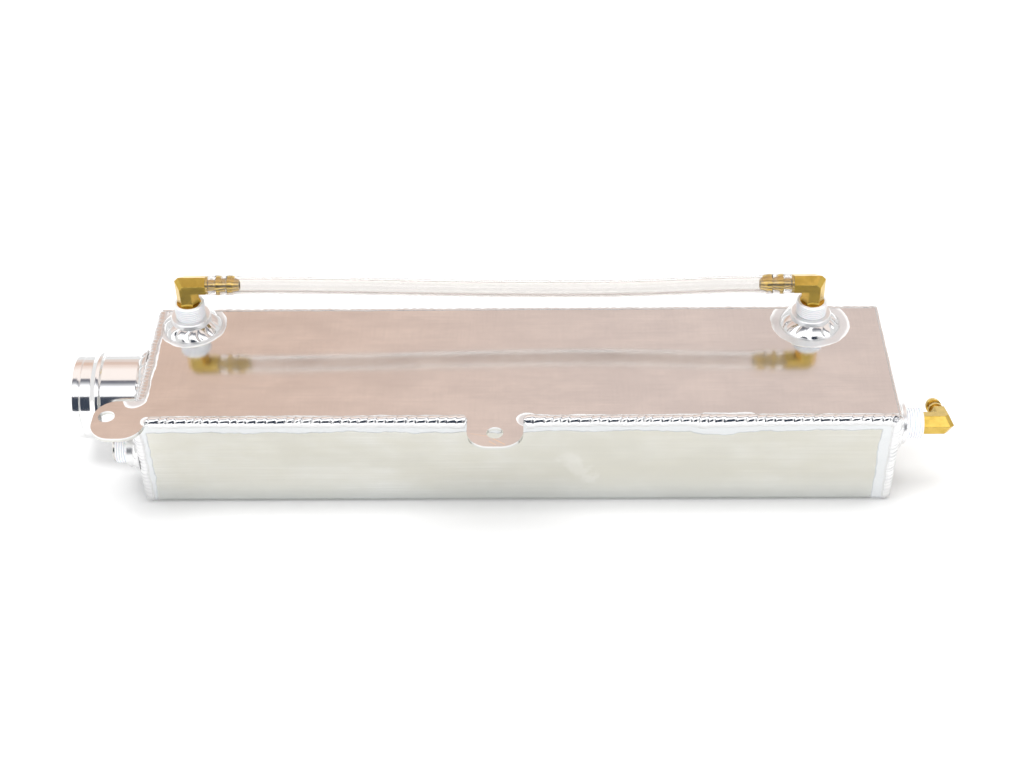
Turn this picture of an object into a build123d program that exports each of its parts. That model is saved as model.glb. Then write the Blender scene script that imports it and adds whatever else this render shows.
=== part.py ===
from build123d import *

import os
from math import cos, pi, radians, sin, tan

# Welded aluminium fluid reservoir. Millimetres, +Z up, origin at the centre of the base.
# +X runs along the tank, away from the hose neck; -Y is the face with the mounting tabs.

# ---------------------------------------------------------------- tank
LENGTH = 435.0  # over the outer faces of the end plates
WIDTH = 101.6
HEIGHT = 63.5
SHEET = 2.5  # every wall is cut from this sheet
BEND_R = 3.0  # outer radius of the two folds along the base
NOTCH = 1.5  # a cover stands back this far from the corner that its weld fills
HALF_L = LENGTH / 2
HALF_W = WIDTH / 2
WALL_TOP = HEIGHT - SHEET
SHELL_HALF = HALF_L - SHEET

# ---------------------------------------------------------------- mounting tabs
TAB_WIDTH = 31.75
TAB_CORNER_R = 12.7
TAB_HOLE_R = 4.75
MIDDLE_TAB_X = -11.1
MIDDLE_TAB_TIP_Y = -72.9
MIDDLE_TAB_HOLE_Y = -61.6
CORNER_TAB_TIP_X = -239.2
CORNER_TAB_ROOT_X = -209.0
CORNER_TAB_BACK_Y = -33.5
CORNER_TAB_HOLE = (-231.5, -46.6)

# ---------------------------------------------------------------- hose neck
NECK_Y = 7.0
NECK_Z = 32.0
NECK_R = 25.4
NECK_BORE_R = 22.2
NECK_LENGTH = 44.0  # from the end plate's outer face
BEAD_CREST_R = 27.6
BEAD_BACK = 17.2  # these four are distances from the neck's open end
BEAD_CREST = (16.2, 14.4)
BEAD_RAMP_FOOT = 11.3  # the hose slides on over the ramp
GROOVE = 4.9
GROOVE_DEPTH = 0.35
BEAD_SOFT = 0.4  # how far the bead's crest is rounded off
NECK_EDGE = 0.7  # bevels of the neck's mouth, inside and out
NECK_WELD_LEG_OUT = 6.3
NECK_WELD_LEG_UP = 5.3

# ---------------------------------------------------------------- pipe threads
THREAD_R = 8.4  # male thread at its shoulder
TAPER = 1 / 32  # change of radius per length, the standard pipe taper
PITCH = 1.411  # 18 threads per inch
TAPE = 0.25  # thickness of the wrapped sealing tape
RIB = 0.2  # how far a thread crest stands out through the tape
SEAT_GAP = 0.04  # between tape and bung on the fittings that stay in
TURN_GAP = 0.1  # the same on the drain plug, which unscrews
TAPE_GAP = 0.03  # between tape and the thread under it
END_CHAMFER = 0.6  # on the ends of threads

# ---------------------------------------------------------------- weld-in bungs
BUNG_R = 11.75
BUNG_SPIGOT_R = 10.6
BUNG_SPIGOT = 3.5  # reaches through the wall
BUNG_HOLE_GAP = 0.1
BUNG_EDGE = 0.5  # chamfer round the bung's mouth
SIGHT_BUNG_HEIGHT = 8.5
RETURN_BUNG_HEIGHT = 5.2
DRAIN_BUNG_HEIGHT = 7.9
DRAIN_BUNG_R = 11.1

# ---------------------------------------------------------------- elbows
EXPOSED = {"left": 9.3, "right": 8.1, "return": 9.6, "drain": 6.6}  # tape that shows
ELBOW_ENGAGED = 6.5
SHOULDER_TO_AXIS = 12.6
LEG_HALF = 6.65  # from the axis to the ridge, on the thread's side
ARM_HALF = 5.65  # the same on the barb's side
FLAT_SHARE = 0.5  # width of the forging's flats over its width at the ridges
ELBOW_HALF_DEPTH = 5.5
HEEL_CUT = 2.4
FORGING_END = 12.0  # from the thread's axis to where the barb starts
BARB_TIP = 31.5
BARB_LENGTH = BARB_TIP - FORGING_END
BARB_TIP_EDGE = 0.4
BARB_BORE_R = 2.4
THREAD_BORE_R = 4.6

# ---------------------------------------------------------------- ports
LEFT_SIGHT_X = -194.5
RIGHT_SIGHT_X = 174.9
SIGHT_Y = 35.1
RETURN_Y = -33.8
RETURN_Z = 44.5
RETURN_DROOP = radians(20)  # the free barb points back and this much down
DRAIN_Y = -35.6
DRAIN_Z = 29.6

LEFT_SIGHT = Plane(origin=(LEFT_SIGHT_X, SIGHT_Y, HEIGHT), x_dir=(1, 0, 0), z_dir=(0, 0, 1))
RIGHT_SIGHT = Plane(origin=(RIGHT_SIGHT_X, SIGHT_Y, HEIGHT), x_dir=(-1, 0, 0), z_dir=(0, 0, 1))
RETURN = Plane(
    origin=(HALF_L, RETURN_Y, RETURN_Z),
    x_dir=(0, cos(RETURN_DROOP), -sin(RETURN_DROOP)),
    z_dir=(1, 0, 0),
)
DRAIN = Plane(origin=(-HALF_L, DRAIN_Y, DRAIN_Z), x_dir=(0, 0, 1), z_dir=(-1, 0, 0))

# ---------------------------------------------------------------- drain plug
PLUG_BARE = 1.9  # smooth metal outside the tape
PLUG_ENGAGED = 6.8
PLUG_SOCKET = 7.94  # hexagon across flats
PLUG_SOCKET_DEPTH = 6.5

# ---------------------------------------------------------------- sight tube
TUBE_R = 5.0
TUBE_BORE_R = 3.5
SLEEVE_R = 5.8  # stretched over a barb
SLEEVE_BORE_R = 4.62
SLEEVE_LENGTH = 17.5
SLEEVE_BORE_TAPER = 1.6
BARB_TIP_GAP = 0.1
SLEEVE_END = 21.5  # where the stretched end is back to the free tube
LEFT_AXIS_Z = HEIGHT + SIGHT_BUNG_HEIGHT + EXPOSED["left"] + SHOULDER_TO_AXIS
RIGHT_AXIS_Z = HEIGHT + SIGHT_BUNG_HEIGHT + EXPOSED["right"] + SHOULDER_TO_AXIS
TUBE_START_X = LEFT_SIGHT_X + FORGING_END
TUBE_END_X = RIGHT_SIGHT_X - FORGING_END
TUBE_ROUTE = [
    (TUBE_START_X, LEFT_AXIS_Z),
    (-142.0, LEFT_AXIS_Z),
    (-85.0, 92.4),
    (-20.0, 90.4),
    (46.0, 89.6),
    (84.0, 90.5),
    (123.5, RIGHT_AXIS_Z),
    (TUBE_END_X, RIGHT_AXIS_Z),
]

# ---------------------------------------------------------------- corner weld beads
BEAD_LEG_DOWN = 4.6  # along the wall
BEAD_LEG_IN = 4.0  # along the cover
BEAD_CROWN = 2.6  # from the chord between the two toes
TAB_WELD_LEG = 3.0
ENVELOPE = 8.0  # half the depth of the block that rounds an end bead's corners

os.makedirs("parts", exist_ok=True)


def save(piece, label):
    """Labels a finished piece and writes it."""
    piece.label = label
    export_step(piece, f"parts/{label}.step")


def revolved(points):
    """A solid turned about Z from the outline (radius, height)."""
    with BuildPart() as turned:
        with BuildSketch(Plane.XZ):
            with BuildLine():
                Polyline(*points, close=True)
            make_face()
        revolve(axis=Axis.Z)
    return turned.part


def placed(piece, plane):
    """A copy of a piece, moved from the XY plane onto another."""
    with BuildPart() as copy:
        with Locations(plane):
            add(piece)
    return copy.part


# ================================================================ sheet metal
with BuildPart() as tank_shell:
    with BuildSketch(Plane.YZ.offset(-SHELL_HALF)):
        with BuildSketch(mode=Mode.PRIVATE) as hollow:
            with Locations((0, SHEET)):
                Rectangle(WIDTH - 2 * SHEET, HEIGHT, align=(Align.CENTER, Align.MIN))
            fillet(hollow.vertices().group_by(Axis.Y)[0], BEND_R - SHEET)
        channel = Rectangle(WIDTH, WALL_TOP, align=(Align.CENTER, Align.MIN))
        fillet(channel.vertices().group_by(Axis.Y)[0], BEND_R)
        add(hollow.sketch, mode=Mode.SUBTRACT)
    extrude(amount=2 * SHELL_HALF)

with BuildPart() as top_plate:
    with BuildSketch(Plane.XY.offset(WALL_TOP)):
        Rectangle(LENGTH - 2 * NOTCH, WIDTH - 2 * NOTCH)
        with BuildSketch(mode=Mode.PRIVATE) as middle_tab:
            with Locations((MIDDLE_TAB_X, MIDDLE_TAB_TIP_Y)):
                Rectangle(TAB_WIDTH, HALF_W, align=(Align.CENTER, Align.MIN))
            fillet(middle_tab.vertices().group_by(Axis.Y)[0], TAB_CORNER_R)
        with BuildSketch(mode=Mode.PRIVATE) as corner_tab:
            with Locations((CORNER_TAB_TIP_X, CORNER_TAB_BACK_Y)):
                Rectangle(
                    CORNER_TAB_ROOT_X - CORNER_TAB_TIP_X,
                    TAB_WIDTH,
                    align=(Align.MIN, Align.MAX),
                )
            back_right = corner_tab.vertices().sort_by(Axis.X)[2:].sort_by(Axis.Y)[-1]
            fillet(corner_tab.vertices() - [back_right], TAB_CORNER_R)
        add(middle_tab.sketch)
        add(corner_tab.sketch)
        with Locations((MIDDLE_TAB_X, MIDDLE_TAB_HOLE_Y), CORNER_TAB_HOLE):
            Circle(TAB_HOLE_R, mode=Mode.SUBTRACT)
        with Locations((LEFT_SIGHT_X, SIGHT_Y), (RIGHT_SIGHT_X, SIGHT_Y)):
            Circle(BUNG_SPIGOT_R + BUNG_HOLE_GAP, mode=Mode.SUBTRACT)
    extrude(amount=SHEET)


def end_plate(face_x, inward, holes):
    """A flat end cover; holes are (y, z, radius)."""
    with BuildPart() as cover:
        with BuildSketch(Plane.YZ.offset(face_x)):
            with Locations((0, NOTCH)):
                Rectangle(WIDTH - 2 * NOTCH, WALL_TOP - NOTCH, align=(Align.CENTER, Align.MIN))
            for y, z, radius in holes:
                with Locations((y, z)):
                    Circle(radius + BUNG_HOLE_GAP, mode=Mode.SUBTRACT)
        extrude(amount=SHEET * inward)
    return cover.part


left_end_plate = end_plate(
    -HALF_L, 1, [(NECK_Y, NECK_Z, NECK_R), (DRAIN_Y, DRAIN_Z, BUNG_SPIGOT_R)]
)
right_end_plate = end_plate(HALF_L, -1, [(RETURN_Y, RETURN_Z, BUNG_SPIGOT_R)])


# ================================================================ hose neck
NECK_PLANE = Plane(origin=(-HALF_L, NECK_Y, NECK_Z), x_dir=(0, 0, 1), z_dir=(-1, 0, 0))

with BuildPart() as hose_neck_body:
    with BuildSketch(Plane.XZ):
        with BuildLine():
            Polyline(
                (NECK_BORE_R, -SHEET),
                (NECK_R, -SHEET),
                (NECK_R, NECK_LENGTH - BEAD_BACK),
                (BEAD_CREST_R - BEAD_SOFT, NECK_LENGTH - BEAD_CREST[0] - BEAD_SOFT),
                (BEAD_CREST_R, NECK_LENGTH - BEAD_CREST[0]),
                (BEAD_CREST_R, NECK_LENGTH - BEAD_CREST[1]),
                (BEAD_CREST_R - BEAD_SOFT, NECK_LENGTH - BEAD_CREST[1] + BEAD_SOFT),
                (NECK_R, NECK_LENGTH - BEAD_RAMP_FOOT),
                (NECK_R, NECK_LENGTH - GROOVE - GROOVE_DEPTH),
                (NECK_R - GROOVE_DEPTH, NECK_LENGTH - GROOVE),
                (NECK_R, NECK_LENGTH - GROOVE + GROOVE_DEPTH),
                (NECK_R, NECK_LENGTH - NECK_EDGE),
                (NECK_R - NECK_EDGE, NECK_LENGTH),
                (NECK_BORE_R + NECK_EDGE, NECK_LENGTH),
                (NECK_BORE_R, NECK_LENGTH - NECK_EDGE),
                close=True,
            )
        make_face()
    revolve(axis=Axis.Z)
hose_neck = placed(hose_neck_body.part, NECK_PLANE)


# ================================================================ bungs
def bung(height, radius, exposed, gap):
    """A weld-in bung on the XY plane with a tapered bore that fits the taped thread."""

    def bore(z):
        return THREAD_R + TAPE + gap - (height + exposed - z) * TAPER

    return revolved(
        [
            (bore(-BUNG_SPIGOT), -BUNG_SPIGOT),
            (BUNG_SPIGOT_R, -BUNG_SPIGOT),
            (BUNG_SPIGOT_R, 0),
            (radius, 0),
            (radius, height - BUNG_EDGE),
            (radius - BUNG_EDGE, height),
            (bore(height), height),
        ]
    )


def bung_weld(radius, leg_up, leg_out, trims, plane):
    """A fillet weld round a bung, cut back where it meets other welds."""
    ring = revolved([(radius, 0), (radius + leg_out, 0), (radius, leg_up)])
    with BuildPart() as weld:
        add(placed(ring, plane))
        for trim in trims:
            add(trim, mode=Mode.SUBTRACT)
    with BuildPart() as trimmed:
        add(weld.solids().sort_by(SortBy.VOLUME)[-1])
    return trimmed.part


left_sight_bung = placed(
    bung(SIGHT_BUNG_HEIGHT, BUNG_R, EXPOSED["left"], SEAT_GAP), LEFT_SIGHT
)
right_sight_bung = placed(
    bung(SIGHT_BUNG_HEIGHT, BUNG_R, EXPOSED["right"], SEAT_GAP), RIGHT_SIGHT
)
return_bung = placed(bung(RETURN_BUNG_HEIGHT, BUNG_R, EXPOSED["return"], SEAT_GAP), RETURN)
drain_bung = placed(
    bung(DRAIN_BUNG_HEIGHT, DRAIN_BUNG_R, EXPOSED["drain"], TURN_GAP), DRAIN
)


# ================================================================ fittings
def elbow_outline(leg_half, arm_half):
    """The forging seen from the side: the thread's shoulder is the X axis, the barb's side
    points along +X and the heel's corner is cut off."""
    top = SHOULDER_TO_AXIS + arm_half
    return Polyline(
        (-leg_half, 0),
        (leg_half, 0),
        (leg_half, SHOULDER_TO_AXIS - arm_half),
        (FORGING_END, SHOULDER_TO_AXIS - arm_half),
        (FORGING_END, top),
        (HEEL_CUT - leg_half, top),
        (-leg_half, top - HEEL_CUT),
        close=True,
    )


with BuildPart() as elbow_forging:
    # Both legs are six-sided, with ridges at mid depth and flats facing sideways.
    for side, scale_down in ((-1, FLAT_SHARE), (0, 1), (1, FLAT_SHARE)):
        with BuildSketch(Plane.XZ.offset(side * ELBOW_HALF_DEPTH)):
            with BuildLine():
                elbow_outline(LEG_HALF * scale_down, ARM_HALF * scale_down)
            make_face()
    loft(ruled=True)

# Barb outline: (distance from the forging, radius).
BARB_OUTLINE = [
    (-1.0, 0.0),
    (-1.0, 4.4),
    (1.3, 4.4),
    (1.9, 3.35),
    (6.3, 3.35),
    (6.3, 4.5),
    (7.6, 4.5),
    (12.9, 3.5),
    (12.9, 4.5),
    (15.6, 4.5),
    (BARB_LENGTH - BARB_TIP_EDGE, 3.45),
    (BARB_LENGTH, 3.45 - BARB_TIP_EDGE),
    (BARB_LENGTH, 0.0),
]
BARB_PLANE = Plane(
    origin=(FORGING_END, 0, SHOULDER_TO_AXIS), x_dir=(0, 0, -1), z_dir=(1, 0, 0)
)
barb = placed(revolved([(radius, along) for along, radius in BARB_OUTLINE]), BARB_PLANE)


def elbow(exposed):
    """A barbed elbow with its shoulder on the XY plane, bored through both legs."""
    length = exposed + ELBOW_ENGAGED
    thread = revolved(
        [
            (0, 0),
            (THREAD_R, 0),
            (THREAD_R - length * TAPER, -length + END_CHAMFER),
            (THREAD_R - length * TAPER - END_CHAMFER, -length),
            (0, -length),
        ]
    )
    with BuildPart() as fitting:
        add(elbow_forging.part)
        add(barb)
        add(thread)
        with BuildSketch(Plane.XY.offset(-length)):
            Circle(THREAD_BORE_R)
        extrude(amount=length + SHOULDER_TO_AXIS, mode=Mode.SUBTRACT)
        with BuildSketch(Plane.YZ):
            with Locations((0, SHOULDER_TO_AXIS)):
                Circle(BARB_BORE_R)
        extrude(amount=BARB_TIP, mode=Mode.SUBTRACT)
    return fitting.part


def tape_wrap(exposed, engaged):
    """Sealing tape over a thread whose shoulder is the XY plane: ribbed outside the bung,
    pressed smooth inside it."""

    def thread(z):
        return THREAD_R + z * TAPER

    bottom = -exposed - engaged
    outline = [(thread(bottom) + TAPE_GAP, bottom), (thread(0) + TAPE_GAP, 0)]
    ribs = int(exposed / PITCH)
    for rib in range(ribs):
        z = -rib * PITCH
        outline.append((thread(z) + TAPE, z))
        outline.append((thread(z) + TAPE + RIB, z - PITCH / 2))
    outline.append((thread(-exposed) + TAPE, -ribs * PITCH))
    outline.append((thread(bottom) + TAPE, bottom))
    return revolved(outline)


left_shoulder = LEFT_SIGHT.offset(SIGHT_BUNG_HEIGHT + EXPOSED["left"])
right_shoulder = RIGHT_SIGHT.offset(SIGHT_BUNG_HEIGHT + EXPOSED["right"])
return_shoulder = RETURN.offset(RETURN_BUNG_HEIGHT + EXPOSED["return"])
drain_shoulder = DRAIN.offset(DRAIN_BUNG_HEIGHT + EXPOSED["drain"])

left_sight_elbow = placed(elbow(EXPOSED["left"]), left_shoulder)
right_sight_elbow = placed(elbow(EXPOSED["right"]), right_shoulder)
return_elbow = placed(elbow(EXPOSED["return"]), return_shoulder)

left_sight_tape = placed(tape_wrap(EXPOSED["left"], ELBOW_ENGAGED - 1), left_shoulder)
right_sight_tape = placed(tape_wrap(EXPOSED["right"], ELBOW_ENGAGED - 1), right_shoulder)
return_tape = placed(tape_wrap(EXPOSED["return"], ELBOW_ENGAGED - 1), return_shoulder)
drain_tape = placed(tape_wrap(EXPOSED["drain"], PLUG_ENGAGED - 1), drain_shoulder)

plug_length = EXPOSED["drain"] + PLUG_ENGAGED
with BuildPart() as drain_plug_body:
    add(
        revolved(
            [
                (0, -plug_length),
                (THREAD_R - plug_length * TAPER - END_CHAMFER, -plug_length),
                (THREAD_R - plug_length * TAPER, -plug_length + END_CHAMFER),
                (THREAD_R, 0),
                (THREAD_R, PLUG_BARE - END_CHAMFER),
                (THREAD_R - END_CHAMFER, PLUG_BARE),
                (0, PLUG_BARE),
            ]
        )
    )
    with BuildSketch(Plane.XY.offset(PLUG_BARE)):
        RegularPolygon(PLUG_SOCKET / 2, 6, major_radius=False)
    extrude(amount=-PLUG_SOCKET_DEPTH, mode=Mode.SUBTRACT)
drain_plug = placed(drain_plug_body.part, drain_shoulder)


# ================================================================ sight tube
def run_radii(route):
    """The tangent arc at each corner of a route, as large as its two runs allow."""
    points = [Vector(x, 0, z) for x, z in route]
    runs = [after - before for before, after in zip(points, points[1:])]
    radii = []
    for first, second in zip(runs, runs[1:]):
        half_turn = radians(first.get_angle(second)) / 2
        radii.append(0.45 * min(first.length, second.length) / tan(half_turn))
    return radii


tube_radii = run_radii(TUBE_ROUTE)
print("sight tube bend radii", [round(radius) for radius in tube_radii])


def stretched(end_x, axis_z, direction, outline):
    """What a barb's end adds to the tube or to its bore: an outline turned about the barb."""
    barb_axis = Plane(origin=(end_x, SIGHT_Y, axis_z), z_dir=(direction, 0, 0))
    return placed(revolved(outline), barb_axis)


SLEEVE = [(0, 0), (SLEEVE_R, 0), (SLEEVE_R, SLEEVE_LENGTH), (TUBE_R, SLEEVE_END), (0, SLEEVE_END)]
SLEEVE_BORE = [
    (0, -1),
    (SLEEVE_BORE_R, -1),
    (SLEEVE_BORE_R, SLEEVE_LENGTH - SLEEVE_BORE_TAPER),
    (TUBE_BORE_R, BARB_LENGTH + BARB_TIP_GAP),
    (0, BARB_LENGTH + BARB_TIP_GAP),
]

with BuildPart() as sight_tube:
    with BuildLine() as tube_path:
        FilletPolyline(*[(x, SIGHT_Y, z) for x, z in TUBE_ROUTE], radius=tube_radii)
    tube_start = Plane(origin=tube_path.line @ 0, z_dir=tube_path.line % 0)
    with BuildSketch(tube_start):
        Circle(TUBE_R)
    sweep()
    volume_ratio = sight_tube.part.volume / (pi * TUBE_R**2 * tube_path.wire().length)
    print("sight tube volume over section times length", round(volume_ratio, 4))
    add(stretched(TUBE_START_X, LEFT_AXIS_Z, 1, SLEEVE))
    add(stretched(TUBE_END_X, RIGHT_AXIS_Z, -1, SLEEVE))
    with BuildSketch(tube_start):
        Circle(TUBE_BORE_R)
    sweep(path=tube_path.wire(), mode=Mode.SUBTRACT)
    add(stretched(TUBE_START_X, LEFT_AXIS_Z, 1, SLEEVE_BORE), mode=Mode.SUBTRACT)
    add(stretched(TUBE_END_X, RIGHT_AXIS_Z, -1, SLEEVE_BORE), mode=Mode.SUBTRACT)


# ================================================================ weld beads
def corner_bead(origin, inward, outward, length):
    """A rounded bead along an outside corner. inward runs over the cover from the corner,
    outward is the cover's normal, and the bead runs along inward x outward."""
    plane = Plane(
        origin=origin, x_dir=inward, z_dir=Vector(*inward).cross(Vector(*outward))
    )
    with BuildPart() as bead:
        with BuildSketch(plane):
            with BuildLine():
                chord = Line((0, -BEAD_LEG_DOWN), (BEAD_LEG_IN, 0))
                SagittaArc(chord @ 0, chord @ 1, BEAD_CROWN)
            make_face()
        extrude(amount=length)
    return bead.part


with BuildPart() as inside:
    # The hollow that no weld bead may reach into.
    with BuildSketch(Plane.YZ.offset(-SHELL_HALF)):
        with Locations((0, SHEET)):
            Rectangle(WIDTH - 2 * SHEET, WALL_TOP - SHEET, align=(Align.CENTER, Align.MIN))
    extrude(amount=2 * SHELL_HALF)

SHEETS = [tank_shell.part, top_plate.part, left_end_plate, right_end_plate, inside.part]
LEFT, RIGHT = (-1, 0, 0), (1, 0, 0)
FRONT, BACK = (0, -1, 0), (0, 1, 0)
UP = (0, 0, 1)


def end_weld(face_x, top_start_y):
    """The bead round one end plate; its top run starts at top_start_y."""
    with BuildPart() as weld:
        if face_x < 0:
            add(corner_bead((face_x, HALF_W, HEIGHT), RIGHT, UP, HALF_W - top_start_y))
            add(corner_bead((face_x, -HALF_W, 0), BACK, LEFT, WALL_TOP))
            add(corner_bead((face_x, HALF_W, HEIGHT), FRONT, LEFT, HEIGHT))
            add(corner_bead((face_x, HALF_W, 0), UP, LEFT, WIDTH))
        else:
            add(corner_bead((face_x, top_start_y, HEIGHT), LEFT, UP, HALF_W - top_start_y))
            add(corner_bead((face_x, -HALF_W, HEIGHT), BACK, RIGHT, HEIGHT))
            add(corner_bead((face_x, HALF_W, 0), FRONT, RIGHT, HEIGHT))
            add(corner_bead((face_x, -HALF_W, 0), UP, RIGHT, WIDTH))
        with BuildSketch(Plane.YZ.offset(face_x - ENVELOPE)):
            # The base stays flat: nothing of the bead hangs below it.
            RectangleRounded(WIDTH + 2, HEIGHT + 1, BEND_R + 1, align=(Align.CENTER, Align.MIN))
        extrude(amount=2 * ENVELOPE, mode=Mode.INTERSECT)
        for sheet in SHEETS:
            add(sheet, mode=Mode.SUBTRACT)
    return weld.part


left_end_weld = end_weld(-HALF_L, CORNER_TAB_BACK_Y)
right_end_weld = end_weld(HALF_L, -HALF_W)


def seam_weld(bead):
    """A bead along a long edge of the top plate, cut back to the sheets and the end welds."""
    with BuildPart() as weld:
        add(bead)
        for solid in SHEETS + [left_end_weld, right_end_weld]:
            add(solid, mode=Mode.SUBTRACT)
    with BuildPart() as trimmed:
        add(weld.solids().sort_by(SortBy.VOLUME)[-1])
    return trimmed.part


middle_tab_left = MIDDLE_TAB_X - TAB_WIDTH / 2
middle_tab_right = MIDDLE_TAB_X + TAB_WIDTH / 2
SEAM_END = HALF_L - NOTCH
front_seam_weld_left = seam_weld(
    corner_bead(
        (CORNER_TAB_ROOT_X, -HALF_W, HEIGHT), BACK, UP, middle_tab_left - CORNER_TAB_ROOT_X
    )
)
front_seam_weld_right = seam_weld(
    corner_bead((middle_tab_right, -HALF_W, HEIGHT), BACK, UP, SEAM_END - middle_tab_right)
)
back_seam_weld = seam_weld(corner_bead((SEAM_END, HALF_W, HEIGHT), FRONT, UP, 2 * SEAM_END))


def under_tab_bead(origin, along, outward, length):
    """A fillet weld in the corner between a tab's underside and the wall below it."""
    plane = Plane(origin=origin, x_dir=outward, z_dir=along)
    with BuildPart() as bead:
        with BuildSketch(plane):
            with BuildLine():
                Polyline((0, 0), (TAB_WELD_LEG, 0), (0, TAB_WELD_LEG), close=True)
            make_face()
        extrude(amount=length)
    return bead.part


middle_tab_weld = under_tab_bead(
    (middle_tab_left + 1, -HALF_W, WALL_TOP), RIGHT, FRONT, TAB_WIDTH - 2
)
corner_tab_weld = under_tab_bead(
    (-HALF_L, CORNER_TAB_BACK_Y - 1, WALL_TOP),
    FRONT,
    LEFT,
    HALF_W + CORNER_TAB_BACK_Y - BEAD_LEG_IN - 2,
)

neck_ring = revolved(
    [(NECK_R, 0), (NECK_R + NECK_WELD_LEG_UP, 0), (NECK_R, NECK_WELD_LEG_OUT)]
)
with BuildPart() as neck_weld:
    add(placed(neck_ring, NECK_PLANE))
    add(left_end_weld, mode=Mode.SUBTRACT)

with BuildPart() as behind:
    # The space past the back seam's bead, where the sight bungs' welds end.
    with BuildSketch(Plane.XY.offset(WALL_TOP)):
        with Locations((0, HALF_W - NOTCH)):
            Rectangle(LENGTH, TAB_WIDTH, align=(Align.CENTER, Align.MIN))
    extrude(amount=TAB_WIDTH)

left_sight_bung_weld = bung_weld(
    BUNG_R, 5.2, 5.6, [back_seam_weld, left_end_weld, behind.part], LEFT_SIGHT
)
right_sight_bung_weld = bung_weld(BUNG_R, 5.2, 5.6, [back_seam_weld, behind.part], RIGHT_SIGHT)
return_bung_weld = bung_weld(BUNG_R, 3.4, 3.6, [right_end_weld], RETURN)
drain_bung_weld = bung_weld(
    DRAIN_BUNG_R, 4.4, 3.6, [neck_weld.part, left_end_weld], DRAIN
)

# ================================================================ files
PIECES = {
    "tank_shell": tank_shell.part,
    "top_plate": top_plate.part,
    "left_end_plate": left_end_plate,
    "right_end_plate": right_end_plate,
    "hose_neck": hose_neck,
    "neck_weld": neck_weld.part,
    "left_end_weld": left_end_weld,
    "right_end_weld": right_end_weld,
    "front_seam_weld_left": front_seam_weld_left,
    "front_seam_weld_right": front_seam_weld_right,
    "back_seam_weld": back_seam_weld,
    "middle_tab_weld": middle_tab_weld,
    "corner_tab_weld": corner_tab_weld,
    "left_sight_bung": left_sight_bung,
    "right_sight_bung": right_sight_bung,
    "return_bung": return_bung,
    "drain_bung": drain_bung,
    "left_sight_bung_weld": left_sight_bung_weld,
    "right_sight_bung_weld": right_sight_bung_weld,
    "return_bung_weld": return_bung_weld,
    "drain_bung_weld": drain_bung_weld,
    "left_sight_elbow": left_sight_elbow,
    "right_sight_elbow": right_sight_elbow,
    "return_elbow": return_elbow,
    "left_sight_tape": left_sight_tape,
    "right_sight_tape": right_sight_tape,
    "return_tape": return_tape,
    "drain_tape": drain_tape,
    "drain_plug": drain_plug,
    "sight_tube": sight_tube.part,
}
for name, piece in PIECES.items():
    save(piece, name)
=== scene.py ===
from math import cos, exp, pi, radians, sin
from random import Random

import bmesh
import bpy
from mathutils import Matrix, Vector, noise as lattice


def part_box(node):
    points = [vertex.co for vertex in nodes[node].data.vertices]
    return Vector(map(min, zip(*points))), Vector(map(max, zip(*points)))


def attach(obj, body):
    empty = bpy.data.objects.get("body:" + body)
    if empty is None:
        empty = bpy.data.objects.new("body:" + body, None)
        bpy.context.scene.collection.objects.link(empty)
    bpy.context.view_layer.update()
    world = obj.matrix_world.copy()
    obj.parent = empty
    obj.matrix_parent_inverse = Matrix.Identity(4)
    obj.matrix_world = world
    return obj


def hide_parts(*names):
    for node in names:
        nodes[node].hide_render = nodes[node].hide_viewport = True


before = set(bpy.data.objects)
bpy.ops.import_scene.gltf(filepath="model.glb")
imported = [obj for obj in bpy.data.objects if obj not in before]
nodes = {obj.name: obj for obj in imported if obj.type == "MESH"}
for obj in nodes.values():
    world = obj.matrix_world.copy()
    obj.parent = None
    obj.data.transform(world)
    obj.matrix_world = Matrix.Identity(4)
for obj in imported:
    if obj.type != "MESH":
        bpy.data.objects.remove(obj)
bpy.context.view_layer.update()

MM = 0.001


# ---------------------------------------------------------------- camera
CAMERA_PLACE = Vector((17.5, -791.9, 728.6)) * MM
CAMERA_DOWN = radians(40.74)
CAMERA_TURN = radians(-1.45)
CAMERA_ROLL = radians(-1.21)

camera_data = bpy.data.cameras.new("camera")
camera_data.lens = 62.29
camera_data.sensor_width = 36
camera = bpy.data.objects.new("camera", camera_data)
bpy.context.scene.collection.objects.link(camera)
forward = Vector(
    (
        sin(CAMERA_TURN) * cos(CAMERA_DOWN),
        cos(CAMERA_TURN) * cos(CAMERA_DOWN),
        -sin(CAMERA_DOWN),
    )
)
level = Vector((cos(CAMERA_TURN), -sin(CAMERA_TURN), 0))
up = level.cross(forward)
across = level * cos(CAMERA_ROLL) + up * sin(CAMERA_ROLL)
upright = up * cos(CAMERA_ROLL) - level * sin(CAMERA_ROLL)
camera.matrix_world = Matrix(
    (
        (across.x, upright.x, -forward.x, CAMERA_PLACE.x),
        (across.y, upright.y, -forward.y, CAMERA_PLACE.y),
        (across.z, upright.z, -forward.z, CAMERA_PLACE.z),
        (0, 0, 0, 1),
    )
)
bpy.context.scene.camera = camera


# ---------------------------------------------------------------- places, in millimetres
def middle(node):
    """The middle of a CAD node's box."""
    low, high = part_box(node)
    return (low + high) / 2 / MM


HALF_L = -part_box("left_end_plate")[0].x / MM
HALF_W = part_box("tank_shell")[1].y / MM
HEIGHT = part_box("top_plate")[1].z / MM
LEFT_SIGHT = middle("left_sight_bung")
RIGHT_SIGHT = middle("right_sight_bung")
NECK = middle("hose_neck")
RETURN = middle("return_bung")
DRAIN = middle("drain_bung")
TAB_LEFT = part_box("front_seam_weld_left")[1].x / MM  # the middle tab's two sides
TAB_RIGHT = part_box("front_seam_weld_right")[0].x / MM
FRONT_BEAD_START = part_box("front_seam_weld_left")[0].x / MM
CORNER_TAB_BACK = -33.5  # where the corner tab's rear edge meets the left end

X = Vector((1, 0, 0))
Y = Vector((0, 1, 0))
Z = Vector((0, 0, 1))


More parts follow.
